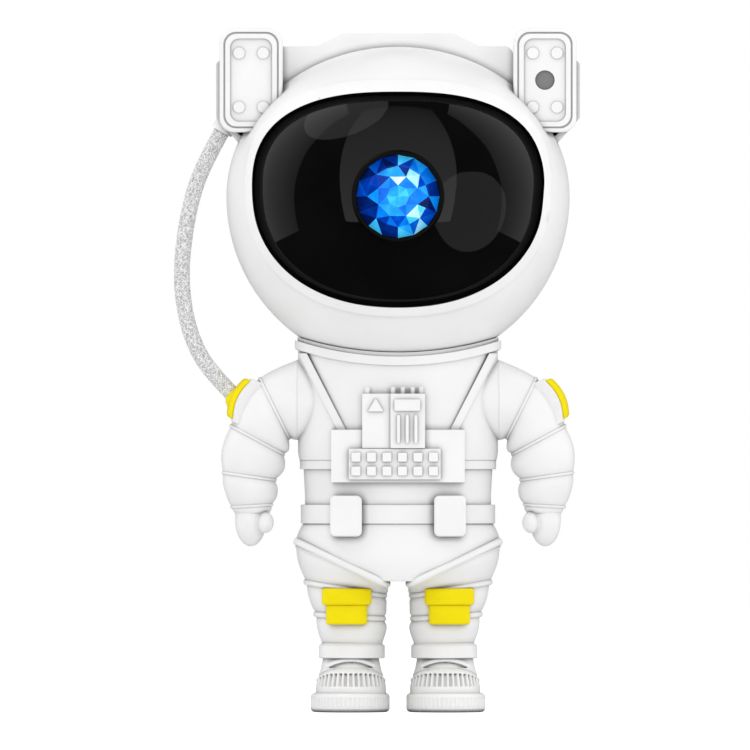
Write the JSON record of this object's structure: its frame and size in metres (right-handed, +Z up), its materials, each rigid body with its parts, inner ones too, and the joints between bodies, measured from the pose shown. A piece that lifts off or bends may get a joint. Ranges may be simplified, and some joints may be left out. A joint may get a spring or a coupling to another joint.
{
  "type": "star projector",
  "caption": "Desktop star and nebula projector in the form of a standing astronaut figure, with a tilting and turning helmet, swinging arms and a faceted lens in the visor",
  "frame": {"origin": "centre of the bounding box at floor level, measured without the hose and its sockets", "axes": "+Z up, the figure looks along -Y, +X is on the right of someone who faces it"},
  "size_m": [0.1356, 0.1174, 0.2278],
  "materials": {
    "white_plastic": "moulded satin white",
    "yellow_plastic": "moulded satin yellow",
    "grey_plastic": "moulded grey",
    "black_gloss": "polished black",
    "black_satin": "satin black",
    "black_rubber": "matt black",
    "blue_crystal": "faceted and polished",
    "rippled_glass": "rippled",
    "grey_glass": "polished",
    "nylon": "natural",
    "steel_can": "plated",
    "screw_steel": "zinc plated",
    "inlet_steel": "bright",
    "magnet_steel": "nickel plated",
    "circuit_board": "solder mask",
    "heat_sink_aluminium": "anodised",
    "brass_barrel": "turned",
    "cast_weight": "as cast",
    "hose_braid": "braided sleeve"
  },
  "bodies": {
    "torso": {"collar_ring": "white_plastic", "neck_plate": "white_plastic", "torso_front_shell": "white_plastic", "torso_rear_shell": "white_plastic", "body_screws": "screw_steel", "waist_ring": "white_plastic", "belt": "white_plastic", "belt_pouches": "white_plastic", "hip_shell": "white_plastic", "left_leg": "white_plastic", "right_leg": "white_plastic", "knee_pads": "yellow_plastic", "ankle_cuffs": "white_plastic", "left_boot": "white_plastic", "right_boot": "white_plastic", "soles": "white_plastic", "foot_weights": "cast_weight", "left_shoulder_pin": "nylon", "right_shoulder_pin": "nylon", "chest_box": "white_plastic", "chest_straps": "white_plastic", "backpack_shell": "white_plastic", "backpack_cover": "white_plastic", "hose_lower": "hose_braid"},
    "neck": {"neck_swivel": "white_plastic", "neck_magnet": "magnet_steel", "neck_clip": "screw_steel"},
    "head": {"helmet_front_shell": "white_plastic", "helmet_rear_shell": "white_plastic", "head_screws": "screw_steel", "visor_bezel": "white_plastic", "visor_gasket": "black_rubber", "visor": "black_gloss", "projection_lens": "blue_crystal", "lens_ring": "black_satin", "optical_frame": "grey_plastic", "ripple_motor": "steel_can", "led_board": "circuit_board", "heat_sink": "heat_sink_aluminium", "control_board": "circuit_board", "power_inlet": "inlet_steel", "sensor_window": "black_gloss", "head_magnet": "magnet_steel", "left_ear_cover": "white_plastic", "right_ear_cover": "white_plastic", "laser_window": "grey_glass", "laser_module": "brass_barrel", "right_ear_housing": "white_plastic", "left_ear_housing": "white_plastic", "head_band": "white_plastic", "hose_socket_upper": "white_plastic", "hose_upper": "hose_braid"},
    "left_arm": {"left_arm": "white_plastic", "left_shoulder_patch": "yellow_plastic"},
    "right_arm": {"right_arm": "white_plastic", "right_shoulder_patch": "yellow_plastic"},
    "ripple_disc": {"ripple_disc": "rippled_glass"},
    "motor_pinion": {"motor_pinion": "nylon"},
    "nebula_button": {"nebula_button": "grey_plastic"},
    "star_button": {"star_button": "grey_plastic"}
  },
  "joints": [
    {"name": "head_turn", "type": "hinge", "parent": "torso", "child": "neck", "pos_m": [0, 0, 0.1096], "axis": [0, 0, 1], "range_deg": [-30, 30], "deforming": ["hose_lower"]},
    {"name": "head_tilt", "type": "hinge", "parent": "neck", "child": "head", "pos_m": [0, 0, 0.1717], "axis": [1, 0, 0], "range_deg": [-25, 12], "deforming": ["hose_upper"]},
    {"name": "left_arm_swing", "type": "hinge", "parent": "torso", "child": "left_arm", "pos_m": [-0.0339, 0, 0.104], "axis": [1, 0, 0], "range_deg": [-110, 40]},
    {"name": "right_arm_swing", "type": "hinge", "parent": "torso", "child": "right_arm", "pos_m": [0.0339, 0, 0.104], "axis": [1, 0, 0], "range_deg": [-110, 40]},
    {"name": "ripple_disc_spin", "type": "hinge", "parent": "head", "child": "ripple_disc", "pos_m": [0, -0.0105, 0.157], "axis": [0, 1, 0], "continuous": true},
    {"name": "motor_pinion_spin", "type": "hinge", "parent": "head", "child": "motor_pinion", "pos_m": [0.0324, -0.0105, 0.157], "axis": [0, 1, 0], "continuous": true},
    {"name": "nebula_button_press", "type": "slide", "parent": "head", "child": "nebula_button", "axis": [0, -1, 0], "range_m": [0, 0.0006], "stiffness_N_per_m": 800, "springref_m": -0.0006},
    {"name": "star_button_press", "type": "slide", "parent": "head", "child": "star_button", "axis": [0, -1, 0], "range_m": [0, 0.0006], "stiffness_N_per_m": 800, "springref_m": -0.0006}
  ],
  "couplings": [
    {"joint": "motor_pinion_spin", "follows": "ripple_disc_spin", "ratio": -4.4}
  ]
}
